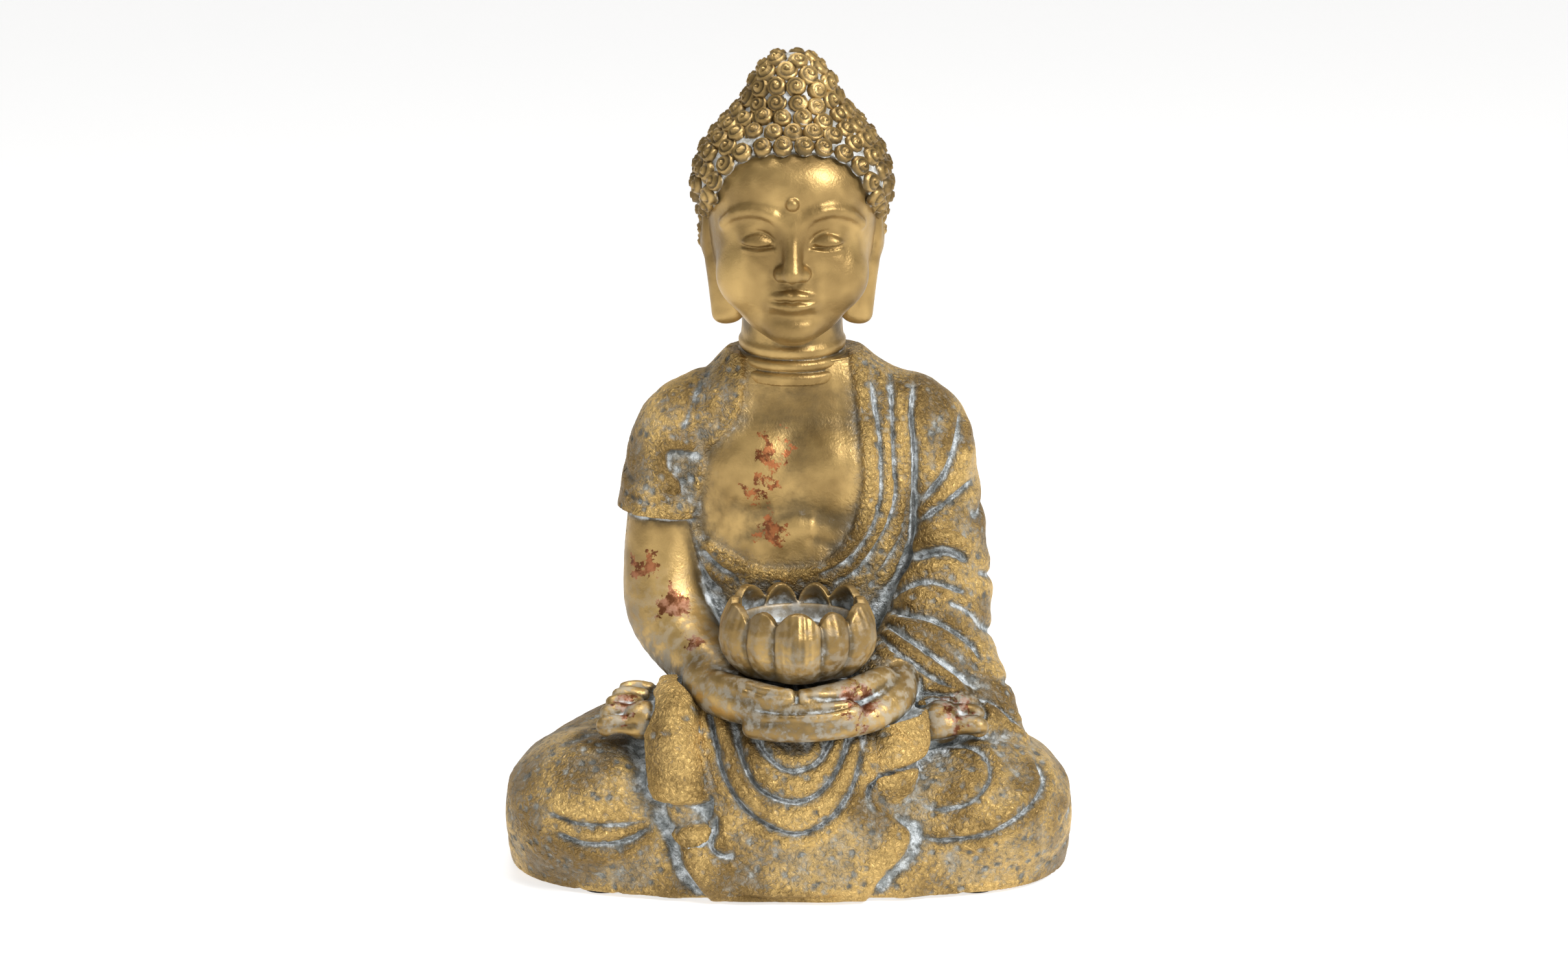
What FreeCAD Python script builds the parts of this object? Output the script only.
# Seated Buddha garden statue that holds a lotus bowl for a tea light.
# A thin cement casting, laid up in a front and a rear half mould, with the head and the lotus bowl
# cast apart and bonded on. The underside is closed by a screwed board on felt pads.
# Millimetres. +Z up, the figure faces -Y, and the origin is the middle of the footprint on the ground.
import FreeCAD, Part
import math
import os
from FreeCAD import Vector

# ---- Overall size ----
statue_height = 460.0
knee_span = 322.0
statue_depth = 208.0

# ---- Body casting ----
wall = 7.0                    # thickness of the laid-up shell
parting_y = 20.0              # plane between the front and the rear half, measured on the sculpted canon
tape_width = 24.0             # glass tape over the parting line, inside
tape_thickness = 1.2
tape_gap = 1.0                # tape to the base board and to the grout

# ---- Underside ----
pad_thickness = 2.0
pad_radius = 11.0
board_thickness = 8.0
board_gap = 0.5               # all round the board
vent_radius = 5.0
screw_radius = 2.0
screw_head_radius = 4.2
screw_length = 27.0
screw_gap = 0.3               # between a screw's shank and the board
block_radius = 16.0           # cement blocks that take the screws
block_height = 30.0

# ---- Neck joint ----
neck_radius = 30.0
spigot_radius = 20.0
spigot_gap = 0.3
spigot_overhang = 6.0         # spigot below the socket ring, inside the grout
rod_radius = 5.0
rod_above_joint = 48.0
rod_below_grout = 5.0
neck_bore_radius = 12.0
grout_collar_radius = 27.0
grout_collar_height = 16.0    # grout below the spigot

# ---- Lotus bowl ----
bowl_radius = 44.0
bowl_height = 42.0
bowl_foot_radius = 25.0
bowl_mouth_radius = 33.0
belly_share = 0.52            # height of the widest place, as a share of the bowl's height
petal_thickness = 6.0
petal_count = 11
notch_radius = 9.0            # round notch between two petal tips
recess_radius = 20.5          # seat of a 39 mm tea-light cup
recess_depth = 8.0
shelf_width = 5.0             # flat ring round the seat
bowl_floor = 12.0
pin_radius = 3.0
pin_in_bowl = 8.0
pin_in_hands = 12.0

# ---- Canon ----
# The sculpted form is laid out at the canon size and stretched along each axis to the overall size.
CANON_SPAN, CANON_DEPTH, CANON_HEIGHT = 322.0, 208.0, 460.0
STRETCH = Vector(knee_span / CANON_SPAN, statue_depth / CANON_DEPTH, statue_height / CANON_HEIGHT)
GIRTH = (STRETCH.x * STRETCH.y * STRETCH.z) ** (1 / 3)

# Heights and places on the canon that more than one piece needs.
NECK_JOINT = (2.0, 33.0, 283.0)
SOCKET_RING = 35.0            # solid casting under the neck joint, down to the hollow's top
BOWL_SEAT = (5.0, -48.0, 122.0)

# Outlines are rows of (height, half width, front y, rear y, centre x).
LAP_ROWS = [
    (pad_thickness, 152, -98, 99, 0),
    (20, 157, -100, 103, 0),
    (40, 153, -98, 104, 0),
    (58, 136, -90, 101, 0),
    (72, 110, -78, 95, 0),
    (83, 78, -60, 86, 0),
]
TORSO_ROWS = [
    (64, 78, -20, 98, 4),
    (100, 70, -10, 90, 5),
    (140, 64, -10, 81, 6),
    (185, 72, -14, 82, 6),
    (222, 80, -12, 84, 6),
    (NECK_JOINT[2] - SOCKET_RING, 79, -2, 80, 6),
    (266, 60, 4, 71, 4),
    (277, 42, 3, 65, 2),
    (NECK_JOINT[2], 34, 3, 63, 2),
]
NECK_ROWS = [
    (NECK_JOINT[2], neck_radius, NECK_JOINT[1] - neck_radius, NECK_JOINT[1] + neck_radius, 2),
    (305, 28, 4, 62, 2),
    (330, 30, -6, 66, 2),
]
FACE_ROWS = [
    (309, 15, -22, 4, 2),
    (317, 28, -29, 30, 2),
    (332, 38, -32, 58, 2),
    (350, 44, -32, 68, 2),
    (370, 47, -32, 72, 2),
    (390, 46, -31, 71, 2),
    (404, 38, -24, 64, 2),
]
HAIR_ROWS = [
    (333, 38, 14, 66, 2),
    (348, 49, 8, 74, 2),
    (366, 54, -10, 79, 2),
    (384, 57, -36, 80, 2),
    (400, 55, -35, 77, 2),
    (414, 47, -27, 70, 2),
    (424, 35, -14, 58, 2),
    (432, 29, -8, 52, 2),
    (443, 25, -4, 48, 2),
    (453, 18, 3, 41, 2),
    (CANON_HEIGHT, 6, 15, 29, 2),
]
HEAD_CAVITY_FLOOR = 326.0
APRON_ROWS = [
    (pad_thickness, 62, -104, -56, 2),
    (24, 60, -104, -56, 0),
    (48, 64, -102, -52, 2),
    (72, 62, -95, -44, 2),
    (97, 56, -84, -36, 2),
]


def place(x, y, z):
    """Canon coordinates to real ones."""
    return Vector(x * STRETCH.x, y * STRETCH.y, z * STRETCH.z)


def section(row, inset=0.0, exponent=2.5, points=28):
    """Closed superellipse wire of one outline row, drawn in by inset at its real size."""
    height, half_width, front, rear, centre_x = row
    middle = place(centre_x, (front + rear) / 2, height)
    reach_x = half_width * STRETCH.x - inset
    reach_y = (rear - front) / 2 * STRETCH.y - inset
    curve_points = []
    for i in range(points):
        turn = 2 * math.pi * i / points
        cosine, sine = math.cos(turn), math.sin(turn)
        x = math.copysign(abs(cosine) ** (2 / exponent), cosine) * reach_x
        y = math.copysign(abs(sine) ** (2 / exponent), sine) * reach_y
        curve_points.append(middle + Vector(x, y, 0))
    curve = Part.BSplineCurve()
    curve.interpolate(Points=curve_points, PeriodicFlag=True)
    return Part.Wire([curve.toShape()])


def skin(rows, inset=0.0, top_inset=0.0, exponent=2.5):
    """Closed loft through the rows, drawn in by inset, with its top lowered by top_inset."""
    wires = [section(row, inset, exponent) for row in rows]
    wires[-1].translate(Vector(0, 0, -top_inset))
    return Part.makeLoft(wires, True, False)


def limb(start, end, start_radius, end_radius):
    """Round-ended taper between two canon points: a turned arc, line and arc."""
    a, b = place(*start), place(*end)
    r1, r2 = start_radius * GIRTH, end_radius * GIRTH
    length = (b - a).Length
    tilt = math.asin((r1 - r2) / length)

    def on_arc(radius, height, angle):
        return Vector(radius * math.cos(angle), 0, height + radius * math.sin(angle))

    low, high = Vector(0, 0, -r1), Vector(0, 0, length + r2)
    low_tangent, high_tangent = on_arc(r1, 0, tilt), on_arc(r2, length, tilt)
    edges = [
        Part.Arc(low, on_arc(r1, 0, (tilt - math.pi / 2) / 2), low_tangent).toShape(),
        Part.LineSegment(low_tangent, high_tangent).toShape(),
        Part.Arc(high_tangent, on_arc(r2, length, (tilt + math.pi / 2) / 2), high).toShape(),
        Part.LineSegment(high, low).toShape(),
    ]
    solid = Part.Face(Part.Wire(edges)).revolve(Vector(0, 0, 0), Vector(0, 0, 1), 360)
    solid.Placement = FreeCAD.Placement(a, FreeCAD.Rotation(Vector(0, 0, 1), b - a))
    return solid


def pebble(centre, reach, yaw=0.0):
    """Ellipsoid with its half sizes along X, Y and Z, turned about Z by yaw degrees."""
    ball = Part.makeSphere(1.0)
    size = FreeCAD.Matrix()
    size.scale(reach[0] * STRETCH.x, reach[1] * STRETCH.y, reach[2] * STRETCH.z)
    solid = ball.transformGeometry(size)
    solid.Placement = FreeCAD.Placement(place(*centre), FreeCAD.Rotation(Vector(0, 0, 1), yaw))
    return solid


def upright(radius, low, high, middle):
    """Cylinder about a vertical axis through middle, between two real heights."""
    return Part.makeCylinder(radius, high - low, Vector(middle.x, middle.y, low))


def half_space(side):
    """A large box on one side of the parting plane: -1 is the front, +1 the rear."""
    reach = 2 * (knee_span + statue_depth + statue_height)
    plane = parting_y * STRETCH.y
    low_y = plane - reach if side < 0 else plane
    return Part.makeBox(2 * reach, reach, 2 * reach, Vector(-reach, low_y, -reach))


def above(height):
    """A large box over a real height."""
    reach = 2 * (knee_span + statue_depth + statue_height)
    return Part.makeBox(2 * reach, 2 * reach, reach, Vector(-reach, -reach, height))


def legs():
    """Crossed legs on a wide lap: a thigh and a shin each side, over one low mass."""
    parts = [skin(LAP_ROWS)]
    for side in (-1, 1):
        parts.append(limb((side * 52, 44, 54), (side * 115, -12, 47), 34, 46))
        parts.append(limb((side * 108, -36, 40), (side * 14, -66, 34), 36, 31))
    return parts


def feet():
    """Each foot rests sole up on the opposite thigh, with its five toes pointing outwards."""
    parts = []
    for side in (-1, 1):
        parts.append(limb((side * 58, -48, 88), (side * 84, -50, 90), 15, 17))
        for toe in range(5):
            y, radius = -62 + 7.5 * toe, 8.5 - 0.6 * toe
            parts.append(limb((side * 86, y, 91), (side * (105 - 1.5 * toe), y, 92), radius * 0.9, radius))
    return parts


def tube(stations):
    """Smooth round tube through canon stations of (x, y, z, radius), square to its path at each one."""
    centres = [place(*station[:3]) for station in stations]
    wires = []
    for i, station in enumerate(stations):
        along = centres[min(i + 1, len(centres) - 1)] - centres[max(i - 1, 0)]
        circle = Part.makeCircle(station[3] * GIRTH, centres[i], along)
        wires.append(Part.Wire([circle]))
    return Part.makeLoft(wires, True, False)


def arms():
    """Bare right arm, and a left arm whose wide sleeve falls to the knee."""
    return [
        tube([(-50, 36, 250, 22), (-64, 36, 236, 25), (-70, 32, 205, 23), (-73, 24, 165, 19),
              (-69, 8, 139, 20), (-52, -20, 124, 18), (-28, -48, 113, 14)]),
        tube([(54, 36, 248, 24), (72, 36, 234, 28), (80, 32, 200, 27), (84, 22, 160, 26),
              (80, 4, 134, 26), (62, -24, 120, 20), (36, -50, 110, 14)]),
        tube([(78, 20, 158, 22), (90, 6, 126, 24), (102, -14, 96, 22), (106, -20, 76, 18)]),
    ]


def hands():
    """Two cupped hands, one in the other, levelled on top as the seat of the lotus bowl."""
    seat = place(*BOWL_SEAT)
    lap_top = LAP_ROWS[-1][0] * STRETCH.z
    return [
        pebble((-4, -62, 112), (42, 28, 11), yaw=-4),
        pebble((12, -66, 101), (46, 26, 10), yaw=5),
        upright(bowl_foot_radius, lap_top, seat.z, seat),
    ]


def robe():
    """Rolled edge of the robe down the left side of the chest and round the waist, with a cape right."""
    return [
        tube([(38, 20, 272, 8), (42, 0, 256, 9), (45, -12, 222, 10), (42, -16, 185, 10),
              (28, -18, 156, 9), (0, -17, 139, 8), (-30, -8, 133, 7), (-46, 8, 134, 6)]),
        tube([(-28, 24, 266, 9), (-38, 4, 252, 10), (-50, -6, 226, 12), (-58, -2, 200, 10),
              (-60, 12, 186, 7)]),
    ]


def cavity(inset):
    """Hollow of the body: the lap and the trunk, drawn in by inset. The limbs are cast solid."""
    ring = NECK_JOINT[2] - SOCKET_RING
    trunk_rows = [row for row in TORSO_ROWS if row[0] <= ring]
    lap = skin(LAP_ROWS, inset=inset, top_inset=inset)
    trunk = skin(trunk_rows, inset=inset, top_inset=inset - wall)
    return lap.fuse(trunk)


def neck_levels():
    """Real heights at the neck: the joint, then the feet of the socket ring, the spigot and the grout."""
    joint = NECK_JOINT[2] * STRETCH.z
    ring_foot = joint - SOCKET_RING * STRETCH.z
    spigot_foot = ring_foot - spigot_overhang
    return joint, ring_foot, spigot_foot, spigot_foot - grout_collar_height


def screw_places():
    """Where the four board screws stand, as canon points at ground level."""
    return [(-122, -50, 0), (122, -50, 0), (-100, 64, 0), (100, 64, 0)]


def pad_places():
    """Where the felt pads stick, clear of the screws."""
    return [(-104, -66, 0), (104, -66, 0), (-82, 76, 0), (82, 76, 0)]


def board_top():
    return pad_thickness + board_thickness


def body_halves():
    """Front and rear halves of the body casting."""
    lap, *limbs = legs()
    apron = skin(APRON_ROWS, exponent=3.2)
    outside = lap.multiFuse(limbs + [skin(TORSO_ROWS), apron] + arms() + hands() + feet() + robe())
    outside = outside.common(above(pad_thickness))
    joint, seat = place(*NECK_JOINT), place(*BOWL_SEAT)
    grout_foot = neck_levels()[-1]
    socket = upright(spigot_radius + spigot_gap, grout_foot, joint.z + wall, joint)
    pin_hole = upright(pin_radius, seat.z - pin_in_hands, seat.z + wall, seat)
    bare_top = upright(neck_radius * 3, joint.z, joint.z + neck_radius, joint)
    shell = outside.cut([cavity(wall), socket, pin_hole, bare_top, bowl_blank()])
    return shell.common(half_space(-1)), shell.common(half_space(1))


def parting_tape():
    """Glass tape laid over the parting line on the inside of both halves."""
    plane = parting_y * STRETCH.y
    reach = 2 * (knee_span + statue_height)
    slab_corner = Vector(-reach, plane - tape_width / 2, board_top() + tape_gap)
    slab = Part.makeBox(2 * reach, tape_width, reach, slab_corner)
    joint, ring_foot, *_ = neck_levels()
    neck_room = upright(grout_collar_radius + tape_gap, ring_foot - wall, joint, place(*NECK_JOINT))
    return cavity(wall).common(slab).cut([cavity(wall + tape_thickness), neck_room])


def head():
    """Head, hair and neck with a spigot below, hollow from the crown down through the neck."""
    joint = place(*NECK_JOINT)
    hair = skin(HAIR_ROWS).cut(hair_window())
    outside = skin(FACE_ROWS).multiFuse([hair, skin(NECK_ROWS, exponent=2.1)] + ears() + features())
    spigot_foot = neck_levels()[2]
    outside = outside.fuse(upright(spigot_radius, spigot_foot, joint.z + wall, joint))
    floor = HEAD_CAVITY_FLOOR * STRETCH.z
    crown = HAIR_ROWS[5:7]
    hollow = [row for row in FACE_ROWS[:-1] if row[0] > HEAD_CAVITY_FLOOR] + crown
    bore = upright(neck_bore_radius, spigot_foot, floor + 2 * neck_bore_radius, joint)
    return outside.cut([skin(hollow, inset=wall), bore])


def hair_window():
    """Oval opening of the hairline round the face."""
    oval = Part.makeCylinder(1.0, 1.0, Vector(0, 0, 0), Vector(0, -1, 0))
    size = FreeCAD.Matrix()
    size.scale(47 * STRETCH.x, 60 * STRETCH.y, 50 * STRETCH.z)
    window = oval.transformGeometry(size)
    window.translate(place(NECK_JOINT[0], 4, 348))
    return window


def ears():
    """Long-lobed ears, close to the head."""
    parts = []
    for side in (-1, 1):
        x = NECK_JOINT[0] + side * 50
        parts.append(pebble((x, 20, 356), (6.5, 13, 19)))
        parts.append(limb((x, 19, 344), (x + side * 1, 16, 314), 6.5, 7.5))
    return parts


def features():
    """Plain nose, lips, lowered lids and brow mark, spaced in thirds of the face."""
    x = NECK_JOINT[0]
    parts = [
        limb((x, -31, 364), (x, -35, 343), 3.5, 6.0),
        pebble((x, -32, 328), (12, 5, 3.0)),
        pebble((x, -31, 323), (10, 5, 3.2)),
        pebble((x, -33, 378), (3.2, 3.2, 3.2)),
    ]
    for side in (-1, 1):
        parts.append(pebble((x + side * 19, -27, 360), (12, 8, 7)))
    return parts


def neck_grout():
    """Cement poured into the neck, with a wide collar under the socket ring that locks the head."""
    middle = place(*NECK_JOINT)
    joint, ring_foot, spigot_foot, grout_foot = neck_levels()
    core = upright(neck_bore_radius, grout_foot, joint + rod_above_joint, middle)
    collar = upright(grout_collar_radius, grout_foot, ring_foot, middle)
    collar = collar.cut(upright(spigot_radius, spigot_foot, joint, middle)).common(cavity(wall))
    return core.fuse(collar).cut(neck_rod())


def neck_rod():
    """Plain steel rod through the neck joint."""
    joint, *_, grout_foot = neck_levels()
    return upright(rod_radius, grout_foot - rod_below_grout, joint + rod_above_joint, place(*NECK_JOINT))


def turned(edges, corners):
    """Solid of revolution about Z from joined edges that straight lines through the corners close."""
    lines = [Part.LineSegment(a, b).toShape() for a, b in zip(corners[:-1], corners[1:])]
    return Part.Face(Part.Wire(edges + lines)).revolve(Vector(0, 0, 0), Vector(0, 0, 1), 360)


def bowl_blank():
    """The bowl before its inside and its petals are cut, standing on its seat."""
    belly = bowl_height * belly_share
    foot, rim = Vector(bowl_foot_radius, 0, 0), Vector(bowl_mouth_radius + petal_thickness, 0, bowl_height)
    outer = Part.BSplineCurve()
    flare, waist = Vector(bowl_radius * 0.88, 0, belly * 0.4), Vector(bowl_radius, 0, belly)
    outer.interpolate([foot, flare, waist, rim])
    blank = turned([outer.toShape()], [rim, Vector(0, 0, bowl_height), Vector(0, 0, 0), foot])
    blank.translate(place(*BOWL_SEAT))
    return blank


def lotus_bowl():
    """Cup of upright petals, open on top, with a round seat for a tea light and a pin hole below."""
    seat = place(*BOWL_SEAT)
    shelf = bowl_floor + recess_depth
    mouth = Vector(bowl_mouth_radius, 0, bowl_height)
    shelf_edge = Vector(recess_radius + shelf_width, 0, shelf)
    inner = Part.BSplineCurve()
    belly = Vector(bowl_radius - petal_thickness, 0, bowl_height * belly_share * 1.2)
    inner.interpolate([mouth, belly, shelf_edge])
    inside = turned([inner.toShape()], [
        shelf_edge, Vector(recess_radius, 0, shelf), Vector(recess_radius, 0, bowl_floor),
        Vector(0, 0, bowl_floor), Vector(0, 0, bowl_height), mouth])
    cuts = [inside, Part.makeCylinder(pin_radius, pin_in_bowl)]
    notch_start = Vector(bowl_mouth_radius / 2, 0, bowl_height)
    for i in range(petal_count):
        notch = Part.makeCylinder(notch_radius, bowl_radius, notch_start, Vector(1, 0, 0))
        turn = 360.0 * (i + 0.5) / petal_count - 90
        notch.rotate(Vector(0, 0, 0), Vector(0, 0, 1), turn)
        cuts.append(notch)
    for cut in cuts:
        cut.translate(seat)
    return bowl_blank().cut(cuts)


def bowl_pin():
    """Steel pin between the hands and the foot of the bowl."""
    seat = place(*BOWL_SEAT)
    return upright(pin_radius, seat.z - pin_in_hands, seat.z + pin_in_bowl, seat)


def screw(canon_point):
    """Countersunk screw, driven up through the board."""
    foot = place(*canon_point)
    foot.z = pad_thickness
    head_height = screw_head_radius - screw_radius
    shank = Part.makeCylinder(screw_radius, screw_length, foot)
    return shank.fuse(Part.makeCone(screw_head_radius, screw_radius, head_height, foot))


def base_board():
    """Board that closes the underside, with countersunk holes and a vent."""
    outline = Part.Face(section(LAP_ROWS[0], inset=wall + board_gap))
    board = outline.extrude(Vector(0, 0, board_thickness))
    cuts = [upright(vent_radius, 0, board_top() + 1, place(0, 10, 0))]
    for point in screw_places():
        middle = place(*point)
        cuts.append(upright(screw_radius + screw_gap, 0, board_top() + 1, middle))
        sink = screw_head_radius - screw_radius
        cuts.append(Part.makeCone(screw_head_radius + screw_gap, screw_radius + screw_gap, sink,
                                  Vector(middle.x, middle.y, pad_thickness)))
    return board.cut(cuts)


def screw_blocks():
    """Cement blocks bonded into the corners of the hollow, each with a hole for its screw."""
    hollow = cavity(wall)
    blocks = []
    for point in screw_places():
        middle = place(*point)
        block = upright(block_radius, board_top(), board_top() + block_height, middle).common(hollow)
        blocks.append(block.cut(screw(point)))
    return Part.makeCompound(blocks)


def felt_pads():
    return Part.makeCompound([upright(pad_radius, 0, pad_thickness, place(*p)) for p in pad_places()])


def base_screws():
    return Part.makeCompound([screw(p) for p in screw_places()])


def write(name, shape):
    """One STEP file per piece."""
    solids = shape.Solids
    if not solids or not all(s.isValid() and s.Volume > 0 for s in solids):
        raise ValueError(name + " is not a set of valid solids")
    kept = solids[0] if len(solids) == 1 else Part.makeCompound(solids)
    kept.exportStep("parts/" + name + ".step")
    print(name, "solids:", len(solids), "volume cm3:", round(kept.Volume / 1000, 2))


def main():
    os.makedirs("parts", exist_ok=True)
    front, rear = body_halves()
    write("body_front_shell", front)
    write("body_rear_shell", rear)
    write("parting_tape", parting_tape())
    write("head_casting", head())
    write("neck_rod", neck_rod())
    write("neck_grout", neck_grout())
    write("lotus_bowl", lotus_bowl())
    write("bowl_pin", bowl_pin())
    write("base_board", base_board())
    write("screw_blocks", screw_blocks())
    write("base_screws", base_screws())
    write("felt_pads", felt_pads())


main()
